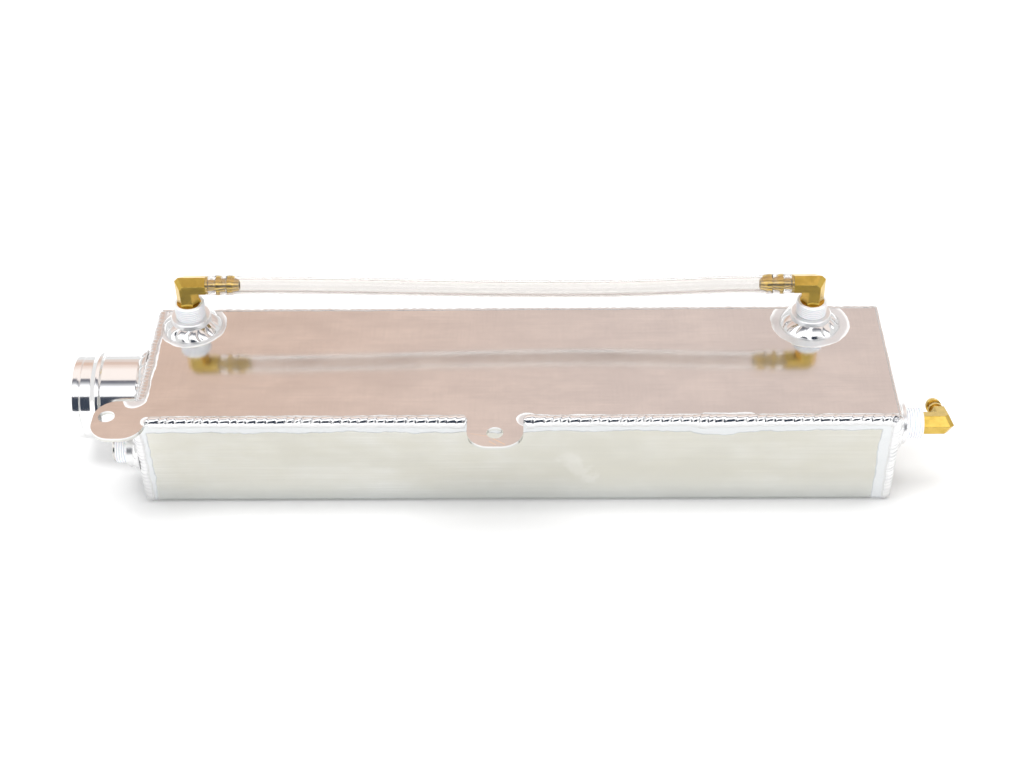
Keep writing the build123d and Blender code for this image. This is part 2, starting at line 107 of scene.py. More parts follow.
# ---------------------------------------------------------------- mesh helpers
def add_piece(name, points, faces, material, body="tank", stands_for=()):
    """A new mesh in millimetres that rides on a CAD body and stands for CAD nodes."""
    mesh = bpy.data.meshes.new(name)
    mesh.from_pydata([Vector(point) * MM for point in points], [], faces)
    mesh.validate()
    shape = bmesh.new()
    shape.from_mesh(mesh)
    bmesh.ops.recalc_face_normals(shape, faces=shape.faces)
    shape.to_mesh(mesh)
    shape.free()
    mesh.materials.append(material)
    mesh.shade_smooth()
    mesh.set_sharp_from_angle(angle=radians(38))
    piece = bpy.data.objects.new(name, mesh)
    bpy.context.scene.collection.objects.link(piece)
    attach(piece, body)
    if stands_for:
        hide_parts(*stands_for)
    return piece


def loft(rings, closed_along=False, caps=True):
    """Faces between rings of equal size, given as the number of rings and their size."""
    count, size = rings
    faces = []
    for ring in range(count if closed_along else count - 1):
        first, second = ring * size, (ring + 1) % count * size
        for k in range(size):
            after = (k + 1) % size
            faces.append((first + k, first + after, second + after, second + k))
    if caps and not closed_along:
        faces.append(tuple(range(size))[::-1])
        faces.append(tuple((count - 1) * size + k for k in range(size)))
    return faces


def softened(outline, amount, points=4):
    """A closed outline with each corner rounded over this distance, as far as its sides allow."""
    made = []
    count = len(outline)
    for i, corner in enumerate(outline):
        corner = Vector(corner)
        before = Vector(outline[i - 1]) - corner
        after = Vector(outline[(i + 1) % count]) - corner
        reach_before = min(amount, 0.4 * before.length)
        reach_after = min(amount, 0.4 * after.length)
        start = corner + before.normalized() * reach_before
        end = corner + after.normalized() * reach_after
        for k in range(points):
            t = k / (points - 1)
            made.append((1 - t) ** 2 * start + 2 * t * (1 - t) * corner + t * t * end)
    return made


def lathe(outline, centre, axis, side, segments=128):
    """Points and faces of a closed outline of (radius, along) turned round an axis."""
    other = axis.cross(side)
    points = []
    for k in range(segments):
        angle = 2 * pi * k / segments
        outward = side * cos(angle) + other * sin(angle)
        points += [centre + outward * radius + axis * along for radius, along in outline]
    return points, loft((segments, len(outline)), closed_along=True)


# ---------------------------------------------------------------- shader helpers
def node(tree, kind, inputs=None, **settings):
    """A shader node; an input is a number, a colour or another node's output."""
    made = tree.nodes.new(kind)
    for name, value in settings.items():
        setattr(made, name, value)
    for name, value in (inputs or {}).items():
        if isinstance(value, bpy.types.NodeSocket):
            tree.links.new(value, made.inputs[name])
        else:
            made.inputs[name].default_value = value
    return made


def calc(tree, operation, a, b=0.0, clamp=False):
    inputs = {0: a, 1: b}
    return node(tree, "ShaderNodeMath", inputs, operation=operation, use_clamp=clamp).outputs[0]


def step(tree, value, low, high, start=0.0, end=1.0):
    """A smooth change from start to end as value goes from low to high."""
    inputs = {"Value": value, "From Min": low, "From Max": high, "To Min": start, "To Max": end}
    return node(
        tree, "ShaderNodeMapRange", inputs, interpolation_type="SMOOTHSTEP"
    ).outputs["Result"]


def mix(tree, share, a, b):
    """Colour a turning into colour b as share goes from 0 to 1."""
    made = tree.nodes.new("ShaderNodeMix")
    made.data_type = "RGBA"
    for socket, value in ((made.inputs[0], share), (made.inputs[6], a), (made.inputs[7], b)):
        if isinstance(value, bpy.types.NodeSocket):
            tree.links.new(value, socket)
        else:
            socket.default_value = value
    return made.outputs[2]


def noise(tree, place, scale, detail=2.0, rough=0.5, stretch=(1, 1, 1)):
    """Noise from 0 to 1 over an object's own coordinates; scale is per metre."""
    mapped = node(
        tree, "ShaderNodeVectorMath", {0: place, 1: [scale * s for s in stretch]},
        operation="MULTIPLY",
    ).outputs[0]
    return node(
        tree, "ShaderNodeTexNoise",
        {"Vector": mapped, "Scale": 1.0, "Detail": detail, "Roughness": rough},
    ).outputs["Fac"]


def bump(tree, height, distance, strength=1.0, onto=None):
    inputs = {"Height": height, "Distance": distance, "Strength": strength}
    if onto is not None:
        inputs["Normal"] = onto
    return node(tree, "ShaderNodeBump", inputs).outputs["Normal"]


def new_material(name, **values):
    """A material and its tree, its Principled shader and the object's coordinates."""
    material = bpy.data.materials.new(name)
    material.use_nodes = True
    tree = material.node_tree
    shader = tree.nodes["Principled BSDF"]
    for socket, value in values.items():
        shader.inputs[socket].default_value = value
    place = tree.nodes.new("ShaderNodeTexCoord").outputs["Object"]
    return material, tree, shader, place


def grey(value):
    return (value, value, value, 1)


# ---------------------------------------------------------------- materials
def vector_math(tree, operation, a, b=(0, 0, 0)):
    return node(tree, "ShaderNodeVectorMath", {0: a, 1: b}, operation=operation).outputs


def line_distance(tree, place, start, end):
    """How far a point is from a straight weld line between two points."""
    run = (Vector(end) - Vector(start)) * MM
    from_start = vector_math(tree, "SUBTRACT", place, Vector(start) * MM)[0]
    share = vector_math(tree, "DOT_PRODUCT", from_start, run / run.length_squared)["Value"]
    share = calc(tree, "MULTIPLY", share, 1.0, clamp=True)
    spread = node(tree, "ShaderNodeCombineXYZ", {0: share, 1: share, 2: share}).outputs[0]
    nearest = vector_math(tree, "MULTIPLY", spread, run)[0]
    offset = vector_math(tree, "SUBTRACT", from_start, nearest)[0]
    return vector_math(tree, "LENGTH", offset)["Value"]


def ring_distance(tree, place, centre, radius):
    """How far outside a circle round a vertical axis a point is."""
    from_centre = vector_math(tree, "SUBTRACT", place, centre * MM)[0]
    flat = vector_math(tree, "MULTIPLY", from_centre, (1, 1, 0))[0]
    length = vector_math(tree, "LENGTH", flat)["Value"]
    return calc(tree, "SUBTRACT", length, radius * MM)


def etched(tree, place, fields, wobble, widest_rim):
    """(inside, rim) shares of the zone whitened round the welds. Each field is a point's
    distance past one part of the zone's edge."""
    edge = fields[0]
    for field in fields[1:]:
        edge = calc(tree, "MINIMUM", edge, field)
    for scale, detail, amount in ((190, 2.0, 2.0), (45, 1.0, 3.0)):
        waves = calc(tree, "SUBTRACT", noise(tree, place, scale, detail), 0.5)
        edge = calc(tree, "ADD", edge, calc(tree, "MULTIPLY", waves, amount * wobble * MM))
    inside = step(tree, edge, -0.25 * MM, 0.25 * MM, 1.0, 0.0)
    width = step(tree, noise(tree, place, 55, 1.0), 0.35, 0.65, 0.5 * MM, widest_rim * MM)
    rim = step(
        tree, edge, calc(tree, "MULTIPLY", width, -1.0), calc(tree, "MULTIPLY", width, -0.4)
    )
    return inside, calc(tree, "MULTIPLY", inside, rim)


def sheet_aluminium(name, zones, light, dark, smooth, border, streaky, marks=None):
    """Mill-finish sheet, rolled along the tank's length, whitened where zones says.

    zones(tree, place) gives (inside, rim) shares; light and dark are the sheet's two shades,
    smooth is its lowest roughness, border is the colour of the whitened zone's rim, streaky
    says how much the rolling shows, and marks(tree, place, colour) adds what this sheet
    alone has."""
    material, tree, shader, place = new_material(name, Metallic=1.0)
    grain = noise(tree, place, 1500, 2.0, 0.6, stretch=(0.02, 1, 1))
    cross_grain = noise(tree, place, 1300, 2.0, 0.6, stretch=(1, 0.04, 0.04))
    fine = noise(tree, place, 4200, 1.0, 0.5, stretch=(0.05, 1, 1))
    clouds = noise(tree, place, 60, 4.0, 0.6, stretch=(0.5, 1, 1))
    stains = noise(tree, place, 14, 3.0, 0.55)
    colour = mix(tree, step(tree, clouds, 0.3, 0.7), dark, light)
    colour = mix(tree, step(tree, stains, 0.35, 0.75, 0.0, 0.7), colour, dark)
    deep = tuple(0.92 * channel for channel in dark[:3]) + (1,)
    smudges = noise(tree, place, 21, 3.0, 0.6, stretch=(0.6, 1, 1))
    colour = mix(tree, step(tree, smudges, 0.48, 0.66, 0.0, 0.6), colour, deep)
    bands = noise(tree, place, 950, 3.0, 0.7, stretch=(0.012, 1, 1))
    colour = mix(tree, step(tree, bands, 0.35, 0.65, 0.0, streaky), colour, deep)
    streaks = step(tree, calc(tree, "ADD", calc(tree, "MULTIPLY", grain, 0.6),
                              calc(tree, "MULTIPLY", cross_grain, 0.4)), 0.3, 0.7)
    colour = mix(tree, calc(tree, "MULTIPLY", streaks, 0.15), colour, grey(0.55))
    if marks:
        colour = marks(tree, place, colour)
    parts = node(tree, "ShaderNodeSeparateXYZ", {0: place}).outputs
    # Painted shade: each sheet is tinted towards a bluish grey near the floor, standing for the
    # floor's contact shadow and its reflection.
    painted_floor_shade = step(tree, parts[2], -4 * MM, 24 * MM, 0.55, 0.0)
    colour = mix(tree, painted_floor_shade, colour, (0.67, 0.71, 0.73, 1))
    rough = step(tree, clouds, 0.25, 0.75, smooth, smooth + 0.05)
    rough = calc(tree, "ADD", rough, calc(tree, "MULTIPLY", grain, 0.04))
    inside, rim = zones(tree, place)
    speckle = noise(tree, place, 1600, 2.0, 0.7)
    frost = mix(tree, speckle, (0.68, 0.71, 0.74, 1), (0.82, 0.84, 0.86, 1))
    colour = mix(tree, calc(tree, "MULTIPLY", inside, 0.8), colour, frost)
    colour = mix(tree, calc(tree, "MULTIPLY", rim, 0.8), colour, border)
    rough = calc(tree, "ADD", rough, calc(tree, "MULTIPLY", inside, 0.2))
    rough = calc(tree, "ADD", rough, calc(tree, "MULTIPLY", rim, 0.25))
    matt = calc(tree, "SUBTRACT", 1.0, calc(tree, "MULTIPLY", inside, 0.3))
    matt = calc(tree, "SUBTRACT", matt, calc(tree, "MULTIPLY", rim, 0.4))
    tree.links.new(matt, shader.inputs["Metallic"])
    tree.links.new(colour, shader.inputs["Base Color"])
    tree.links.new(rough, shader.inputs["Roughness"])
    normal = bump(tree, grain, 0.004 * MM, 0.6)
    normal = bump(tree, cross_grain, 0.003 * MM, 0.5, normal)
    normal = bump(tree, fine, 0.003 * MM, 0.5, normal)
    normal = bump(tree, rim, 0.12 * MM, 0.8, normal)
    normal = bump(tree, calc(tree, "MULTIPLY", speckle, inside), 0.03 * MM, 0.8, normal)
    tree.links.new(normal, shader.inputs["Normal"])
    return material


def on_cover(x, y):
    return (x, y, HEIGHT)


def top_zones(tree, place):
    def near(start, end, reach):
        distance = line_distance(tree, place, on_cover(*start), on_cover(*end))
        return calc(tree, "SUBTRACT", distance, reach * MM)

    front = -HALF_W
    fields = [
        near((FRONT_BEAD_START + 1, front), (TAB_LEFT - 4, front), 4.0),
        near((TAB_RIGHT + 2, front), (HALF_L, front), 4.2),
        near((TAB_RIGHT + 1.5, front), (TAB_RIGHT + 3, front), 5.6),
        near((108, front), (132, front), 5.4),
        near((-HALF_L, HALF_W), (HALF_L, HALF_W), 1.6),
        near((-HALF_L, CORNER_TAB_BACK + 1), (-HALF_L, HALF_W), 6.9),
        near((HALF_L, front), (HALF_L, HALF_W), 1.4),
        ring_distance(tree, place, LEFT_SIGHT, 20.6),
        ring_distance(tree, place, RIGHT_SIGHT, 23.4),
    ]
    return etched(tree, place, fields, 0.7, 2.2)


def wall_zones(tree, place):
    fields = []
    for y in (-HALF_W, HALF_W):
        top = [(x, y, HEIGHT) for x in (-HALF_L, HALF_L)]
        for start, end, reach in (
            (top[0], top[1], 9.2), (top[0], (-HALF_L, y, 0), 8.0), (top[1], (HALF_L, y, 0), 11.5),
        ):
            distance = line_distance(tree, place, start, end)
            fields.append(calc(tree, "SUBTRACT", distance, reach * MM))
    distance = line_distance(tree, place, (106, -HALF_W, HEIGHT), (120, -HALF_W, HEIGHT))
    fields.append(calc(tree, "SUBTRACT", distance, 11.4 * MM))
    return etched(tree, place, fields, 1.3, 0.9)


def end_zones(tree, place):
    fields = []
    for x in (-HALF_L, HALF_L):
        corners = [(x, -HALF_W, HEIGHT), (x, HALF_W, HEIGHT), (x, HALF_W, 0), (x, -HALF_W, 0)]
        for start, end in zip(corners, corners[1:] + corners[:1]):
            distance = line_distance(tree, place, start, end)
            fields.append(calc(tree, "SUBTRACT", distance, 7.5 * MM))
    return etched(tree, place, fields, 1.0, 1.2)


def painted_line(tree, place, colour, start, end, width, tint, share):
    """Colour with a thin soft-edged line of another tint over it."""
    away = line_distance(tree, place, start, end)
    return mix(tree, step(tree, away, 0.3 * width * MM, width * MM, share, 0.0), colour, tint)


def top_marks(tree, place, colour):
    """Scratches on the middle tab, and the torn lower part of the sheared edge."""
    for start, end, share in (
        ((-11.9, -66.4), (-5.5, -71.1), 0.9),
        ((-14.1, -68.7), (-10.5, -71.4), 0.8),
        ((-24.5, -62.2), (-14.5, -64.5), 0.4),
    ):
        colour = painted_line(
            tree, place, colour, on_cover(*start), on_cover(*end), 0.45, (1.0, 0.88, 0.70, 1), share
        )
    height = node(tree, "ShaderNodeSeparateXYZ", {0: place}).outputs[2]
    torn = step(tree, height, (HEIGHT - 1.7) * MM, (HEIGHT - 0.5) * MM, 0.85, 0.0)
    return mix(tree, torn, colour, (0.62, 0.62, 0.58, 1))


def wall_marks(tree, place, colour):
    """A dried splash on the front wall."""
    away = line_distance(tree, place, (31, -HALF_W, 33), (42, -HALF_W, 18))
    ragged = calc(tree, "SUBTRACT", noise(tree, place, 170, 4.0, 0.65), 0.5)
    away = calc(tree, "ADD", away, calc(tree, "MULTIPLY", ragged, 22 * MM))
    return mix(tree, step(tree, away, 2 * MM, 6 * MM, 0.3, 0.0), colour, (0.80, 0.79, 0.76, 1))


def turned_metal(name, colour, roughness, axis):
    """Metal turned in a lathe, with fine rings round the axis 0 (x) or 2 (z)."""
    material, tree, shader, place = new_material(name, Metallic=1.0)
    parts = node(tree, "ShaderNodeSeparateXYZ", {0: place}).outputs
    rings = node(tree, "ShaderNodeCombineXYZ", {0: parts[axis]}).outputs[0]
    turning = noise(tree, rings, 3800, 3.0, 0.7)
    smudge = noise(tree, place, 90, 3.0)
    rough = calc(tree, "ADD", roughness, calc(tree, "MULTIPLY", smudge, 0.08))
    tree.links.new(rough, shader.inputs["Roughness"])
    tint = mix(tree, smudge, tuple(0.94 * c for c in colour[:3]) + (1,), colour)
    tree.links.new(tint, shader.inputs["Base Color"])
    tree.links.new(bump(tree, turning, 0.004 * MM, 0.5), shader.inputs["Normal"])
    return material


def weld_metal(name, shiny_from, shiny_to, shade=1.0, crease_shade=0.75):
    """Weld bead: bright where the puddle froze, frosted near its toes.

    The mesh's own "weld" attribute holds (along, across from 0 to 1, chance), and "crease" is 1 in
    the creases between two puddles, where the metal is painted dark as shade."""
    material, tree, shader, place = new_material(name, Metallic=1.0)
    seam = node(
        tree, "ShaderNodeAttribute", attribute_name="weld", attribute_type="GEOMETRY"
    ).outputs["Vector"]
    parts = node(tree, "ShaderNodeSeparateXYZ", {0: seam}).outputs
    speckle = noise(tree, place, 2600, 2.0, 0.7)
    soft = noise(tree, place, 300, 2.0)
    ragged = calc(tree, "MULTIPLY", calc(tree, "SUBTRACT", soft, 0.5), 0.12)
    across = calc(tree, "ADD", parts[1], ragged)
    frosted = calc(
        tree, "MAXIMUM",
        step(tree, across, shiny_from - 0.04, shiny_from + 0.04, 1.0, 0.0),
        step(tree, across, shiny_to - 0.04, shiny_to + 0.04, 0.0, 1.0),
    )
    rough = calc(tree, "ADD", 0.08, calc(tree, "MULTIPLY", parts[2], 0.06))
    rough = calc(tree, "ADD", rough, calc(tree, "MULTIPLY", frosted, 0.36))
    tree.links.new(rough, shader.inputs["Roughness"])
    crease = node(
        tree, "ShaderNodeAttribute", attribute_name="crease", attribute_type="GEOMETRY"
    ).outputs["Fac"]
    # shade darkens this copy of the weld metal: painted shade.
    bright = mix(tree, soft, grey(0.86 * shade), grey(0.95 * shade))
    frost = mix(tree, speckle, grey(0.80 * shade), grey(0.97 * shade))
    metal = mix(tree, frosted, bright, frost)
    # Painted shade: the creases between puddles are darkened towards a dark blue-grey.
    metal = mix(tree, calc(tree, "MULTIPLY", crease, crease_shade), metal, (0.20, 0.21, 0.24, 1))
    tree.links.new(metal, shader.inputs["Base Color"])
    normal = bump(tree, calc(tree, "MULTIPLY", speckle, frosted), 0.04 * MM, 0.8)
    tree.links.new(normal, shader.inputs["Normal"])
    return material


def brass():
    """Forged brass, a little tarnished, with its edges worn round."""
    material, tree, shader, place = new_material("brass", Metallic=1.0)
    cast = noise(tree, place, 700, 4.0, 0.65)
    tarnish = noise(tree, place, 120, 3.0, 0.6)
    bright, dull = (0.67, 0.46, 0.105, 1), (0.57, 0.385, 0.075, 1)
    colour = mix(tree, step(tree, tarnish, 0.35, 0.7), bright, dull)
    tree.links.new(colour, shader.inputs["Base Color"])
    tree.links.new(step(tree, tarnish, 0.3, 0.7, 0.16, 0.27), shader.inputs["Roughness"])
    edges = node(tree, "ShaderNodeBevel", {"Radius": 0.45 * MM}, samples=6).outputs["Normal"]
    tree.links.new(bump(tree, cast, 0.03 * MM, 0.5, edges), shader.inputs["Normal"])
    return material


def thread_tape():
    """Sealing tape; the mesh's "crest" attribute is 1 on a thread's crest and 0 in its valley, which
    is painted darker as shade.
    """
    material, tree, shader, place = new_material("thread tape", Roughness=0.55)
    shader.inputs["Subsurface Weight"].default_value = 0.1
    shader.inputs["Subsurface Scale"].default_value = 0.4 * MM
    creases = noise(tree, place, 900, 3.0, 0.6)
    crest = node(
        tree, "ShaderNodeAttribute", attribute_name="crest", attribute_type="GEOMETRY"
    ).outputs["Fac"]
    colour = mix(tree, creases, (0.87, 0.88, 0.90, 1), (0.93, 0.93, 0.94, 1))
    # Painted shade: the threads' valleys are darkened to a blue-grey.
    colour = mix(tree, step(tree, crest, 0.15, 0.75), (0.54, 0.58, 0.65, 1), colour)
    tree.links.new(colour, shader.inputs["Base Color"])
    tree.links.new(bump(tree, creases, 0.06 * MM, 0.5), shader.inputs["Normal"])
    return material


def clear_vinyl():
    """Clear hose, slightly hazy, with painted shade darkening its lower side."""
    material, tree, shader, place = new_material("clear vinyl")
    shader.inputs["Transmission Weight"].default_value = 0.95
    shader.inputs["IOR"].default_value = 1.42
    haze = noise(tree, place, 60, 2.0)
    colour = mix(tree, haze, (0.93, 0.915, 0.90, 1), (0.96, 0.945, 0.93, 1))
    facing = tree.nodes.new("ShaderNodeTexCoord").outputs["Normal"]
    upward = node(tree, "ShaderNodeSeparateXYZ", {0: facing}).outputs[2]
    # Painted shade: downward-facing parts of the tube are tinted darker.
    painted_underside_shade = step(tree, upward, -0.98, -0.45, 0.8, 0.0)
    tree.links.new(mix(tree, painted_underside_shade, colour, (0.83, 0.79, 0.76, 1)), shader.inputs["Base Color"])
    tree.links.new(step(tree, haze, 0.3, 0.7, 0.06, 0.12), shader.inputs["Roughness"])
    return material


TOP_SHEET = sheet_aluminium(
    "sheet aluminium top", top_zones, (0.89, 0.885, 0.875, 1), (0.81, 0.81, 0.81, 1), 0.085,
    grey(0.97), 0.1, top_marks,
)
WALL_SHEET = sheet_aluminium(
    "sheet aluminium walls", wall_zones, (0.74, 0.735, 0.69, 1), (0.67, 0.655, 0.58, 1), 0.17,
    (0.50, 0.52, 0.53, 1), 0.4, wall_marks,
)
END_SHEET = sheet_aluminium(
    "sheet aluminium ends", end_zones, (0.68, 0.675, 0.64, 1), (0.62, 0.61, 0.575, 1), 0.17,
    grey(0.84), 0.4,
)
NECK_METAL = turned_metal("turned aluminium neck", grey(0.90), 0.07, 0)
BUNG_METAL_UP = turned_metal("turned aluminium upright", grey(0.88), 0.34, 2)
BUNG_METAL_SIDE = turned_metal("turned aluminium level", grey(0.88), 0.3, 0)
PLUG_METAL = turned_metal("plug steel", (0.62, 0.60, 0.57, 1), 0.2, 0)
# The four weld metals are one metal. Each copy's shade darkens it as painted shade, the back bead's
# copy most. The last value sets how dark the painted shade in the creases goes.
CORNER_WELD = weld_metal("weld metal corner", 0.30, 0.88, 0.92, 0.9)
BACK_WELD_SHADED = weld_metal("weld metal back", 0.20, 0.95, 0.78, 0.0)
RING_WELD = weld_metal("weld metal ring", 0.12, 0.96, 0.85, 0.5)
END_WELD = weld_metal("weld metal ends", 0.16, 0.86, 0.88, 0.5)
BRASS = brass()
TAPE = thread_tape()
VINYL = clear_vinyl()

CAD_MATERIALS = {
    "top_plate": TOP_SHEET,
    "tank_shell": WALL_SHEET,
    "left_end_plate": END_SHEET,
    "right_end_plate": END_SHEET,
    "hose_neck": NECK_METAL,
    "left_sight_bung": BUNG_METAL_UP,
    "right_sight_bung": BUNG_METAL_UP,
    "return_bung": BUNG_METAL_SIDE,
    "drain_bung": BUNG_METAL_SIDE,
    "drain_plug": PLUG_METAL,
}
for piece in nodes.values():
    piece.data.materials.clear()
    piece.data.materials.append(CAD_MATERIALS.get(piece.name, CORNER_WELD))
    if piece.name.endswith("elbow"):
        piece.data.materials[0] = BRASS
    if piece.name.endswith("tape"):
        piece.data.materials[0] = TAPE
nodes["sight_tube"].data.materials[0] = VINYL


# ---------------------------------------------------------------- weld beads
LEG_DOWN = 5.6  # a corner bead's reach along the wall
LEG_IN = 3.7  # and along the cover
CROWN = 2.8
DIME = 5.4  # from one frozen puddle to the next
BUNG_R = 11.75
DRAIN_BUNG_R = 11.1
NECK_R = 25.4
NECK_BORE_R = 22.2


def run_along(start, direction, length, pitch=0.45):
    """Evenly spaced (point, tangent, distance) along a straight line."""
    count = int(length / pitch) + 1
    step_size = length / count
    return [
        (start + direction * step_size * i, direction, step_size * i) for i in range(count + 1)
    ]


def run_round(corners, bends, pitch=0.45):
    """The same along straight runs whose inner corners are rounded to these radii."""
    line = [corners[0]]
    for i in range(1, len(corners) - 1):
        corner = corners[i]
        before = (corners[i - 1] - corner).normalized()
        after = (corners[i + 1] - corner).normalized()
        centre = corner + (before + after) * bends[i - 1]
        for k in range(9):
            turn = k / 8 * pi / 2
            line.append(centre - after * bends[i - 1] * cos(turn) - before * bends[i - 1] * sin(turn))
    line.append(corners[-1])
    stations, distance = [], 0.0
    for first, second in zip(line, line[1:]):
        length = (second - first).length
        direction = (second - first).normalized()
        count = max(1, round(length / pitch))
        for i in range(count):
            stations.append((first + direction * length * i / count, direction, distance))
            distance += length / count
    stations.append((line[-1], direction, distance))
    return stations


def puddles(length, pitch, chance):
    """Where each frozen puddle of a bead starts, with its own height."""
    marks = [-pitch]
    while marks[-1] < length + pitch:
        marks.append(marks[-1] + pitch * chance.uniform(0.75, 1.2))
    return marks, [chance.uniform(0.55, 1.25) for _ in marks]


def bead(name, stations, sides, legs, crown, stands_for, material, **how):
    """A weld bead along stations. sides(point, tangent) gives the directions from the corner
    to the two toes; how may hold outside, closed, swell, limit, blunt, pitch, ripple,
    calm_toe, if its ripples fade towards the first toe, and crater, the place of the dimple
    that the arc left where it stopped."""
    outside = how.get("outside", True)
    closed = how.get("closed", False)
    swell = how.get("swell", lambda point: 1.0)
    limit = how.get("limit", lambda point: point)
    blunt = how.get("blunt", 2.6)
    rippled = how.get("ripple", 1.0)
    crater = how.get("crater")
    calm_toe = how.get("calm_toe", False)
    chance = Random(name)
    salt = Vector((chance.uniform(0, 50), chance.uniform(0, 50), chance.uniform(0, 50)))
    length = stations[-1][2]
    marks, heights = puddles(length, how.get("pitch", DIME), chance)
    if closed:
        stations = stations[:-1]
    around = 17  # points across the bead, from toe to toe
    points, seam, creases = [], [], []
    for corner, tangent, distance in stations:
        a, b = sides(corner, tangent)
        outward = (a + b).normalized() * (-1 if outside else 1)
        taper = 1.0
        if not closed:
            near = min(distance, length - distance)
            taper = sin(min(1.0, near / blunt) * pi / 2) ** 0.6 if near > 0 else 0.05
        grow = swell(corner) * taper
        sway = [lattice.noise(salt + Vector((distance * 0.16, row, 0))) for row in (0, 7, 13)]
        leg_a = legs[0] * grow * (1 + 0.13 * sway[0])
        leg_b = legs[1] * grow * (1 + 0.13 * sway[1])
        height = crown * grow * (1 + 0.10 * sway[2])
        toe_a = corner + a * leg_a
        toe_b = corner + b * leg_b
        for k in range(around):
            turn = pi * k / (around - 1)
            lift = sin(turn)
            at = distance + (1.5 * lift if not outside else 1.2 * lift - 2.4 * k / (around - 1))
            index = max(i for i, mark in enumerate(marks) if mark <= at)
            share = (at - marks[index]) / (marks[index + 1] - marks[index])
            edge = min(share, 1 - share) * (marks[index + 1] - marks[index])
            valley = exp(-((edge / 1.0) ** 2))
            grain = lattice.noise(salt + corner * 0.9 + Vector((0, 0, turn)))
            lobe = 0.25 * share + 0.3 * sin(pi * share) - 0.5 * valley
            if calm_toe:
                lobe *= min(1.0, 0.3 + 1.4 * k / (around - 1))
            ripple = rippled * heights[index] * lobe + 0.06 * grain
            along = (1 + cos(turn)) / 2 if outside else 1 - k / (around - 1)
            point = toe_b + (toe_a - toe_b) * along
            point = point + outward * (height * lift + ripple * lift ** 0.7 * taper)
            # Painted shade: how dark each point in a crease between two puddles is painted.
            painted_crease_shade = max(0.0, heights[index] - 0.5) * lift * exp(-((edge / 0.5) ** 2))
            if calm_toe:
                painted_crease_shade *= min(1.0, max(0.0, 4.0 * k / (around - 1) - 1.2))
            # The crater dimples the bead; the dark ring painted round it is shade.
            if crater:
                gap = (point - crater).length
                point = point + outward * (
                    0.45 * exp(-(((gap - 2.0) / 0.7) ** 2)) - 1.1 * exp(-((gap / 1.1) ** 2))
                )
                painted_crease_shade = max(painted_crease_shade, exp(-(((gap - 1.3) / 0.45) ** 2)))
            points.append(limit(point))
            seam.append((distance, k / (around - 1), heights[index]))
            creases.append(painted_crease_shade)
        root = corner + (a + b) * 2.1 if outside else corner - (a + b) * 0.4
        points.append(root)
        seam.append((distance, 0.5, 1.0))
        creases.append(0.0)
    faces = loft((len(stations), around + 1), closed_along=closed)
    piece = add_piece(name, points, faces, material, stands_for=stands_for)
    marking = piece.data.attributes.new("weld", "FLOAT_VECTOR", "POINT")
    marking.data.foreach_set("vector", [value for row in seam for value in row])
    piece.data.attributes.new("crease", "FLOAT", "POINT").data.foreach_set("value", creases)
    return piece


def seam_swell(*spots):
    """A bead's growth where the torch stopped and started: (x, half width, share)."""

    def swell(point):
        return 1 + sum(
            share * exp(-(((point.x - x) / width) ** 2)) for x, width, share in spots
        )

    return swell


def front_sides(point, tangent):
    return -Z, Y


def back_sides(point, tangent):
    return -Z, -Y


def front_seams():
    left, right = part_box("front_seam_weld_left"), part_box("front_seam_weld_right")
    for name, low, high, spots, crater in (
        ("front_seam_weld_left", left[0].x / MM, left[1].x / MM,
         [(-50, 20, 0.1), (-32, 5, 0.2)], None),
        ("front_seam_weld_right", right[0].x / MM, right[1].x / MM,
         [(7, 5, 0.25), (106, 4, 0.35), (122, 15, 0.15), (213, 4, 0.25)],
         Vector((213.3, -50.9, 62.6))),
    ):
        start = Vector((low, -HALF_W, HEIGHT))
        bead(
            name + "_bead", run_along(start, X, high - low), front_sides, (LEG_DOWN, LEG_IN),
            CROWN, [name], CORNER_WELD, swell=seam_swell(*spots), ripple=0.95, crater=crater,
            calm_toe=True,
        )


def back_seam():
    low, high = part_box("back_seam_weld")
    start = Vector((low.x / MM, HALF_W, HEIGHT))
    bead(
        "back_seam_weld_bead", run_along(start, X, (high.x - low.x) / MM), back_sides,
        (LEG_DOWN, 2.4), 2.3, ["back_seam_weld"], BACK_WELD_SHADED,
        swell=seam_swell((-90, 5, 0.2), (60, 4, 0.2)), ripple=0.4, calm_toe=True,
    )


def above_base(point):
    return Vector((point.x, point.y, max(point.z, 0.03)))


def end_seam(name, face_x, inward, corners, top_share, ripple):
    """The bead round an end plate, along the end face's edge. top_share is how much of its
    usual width it has on the cover."""

    def sides(point, tangent):
        outward = tangent.cross(X)
        if outward.dot(point - Vector((point.x, 0, HEIGHT / 2))) < 0:
            outward = -outward
        on_top = max(0.0, outward.z)
        return X * inward * (1 + (top_share - 1) * on_top), -outward

    stations = run_round(
        [Vector((face_x, y, z)) for y, z in corners], [2.6] + [3.4] * (len(corners) - 3)
    )
    bead(
        name + "_bead", stations, sides, (LEG_DOWN, LEG_IN), 2.2, [name], END_WELD,
        limit=above_base, pitch=2.9, ripple=ripple,
    )


def ring_bead(name, centre, axis, side, radius, legs, crown, limit=None):
    """A fillet bead round a bung or the neck."""
    other = axis.cross(side)
    count = int(2 * pi * (radius + legs[0] / 2) / 0.5)
    reach = radius + legs[0] / 2
    stations = []
    for k in range(count + 1):
        angle = 2 * pi * k / count
        outward = side * cos(angle) + other * sin(angle)
        tangent = other * cos(angle) - side * sin(angle)
        stations.append((centre + outward * radius, tangent, reach * angle))

    def sides(point, tangent):
        return (point - centre).normalized(), axis

    bead(
        name + "_bead", stations, sides, legs, crown, [name], RING_WELD,
        outside=False, closed=True, limit=limit or (lambda point: point),
        pitch=7.6, ripple=0.95,
    )


def inside_back_edge(point):
    return Vector((point.x, min(point.y, HALF_W - 0.8), point.z))


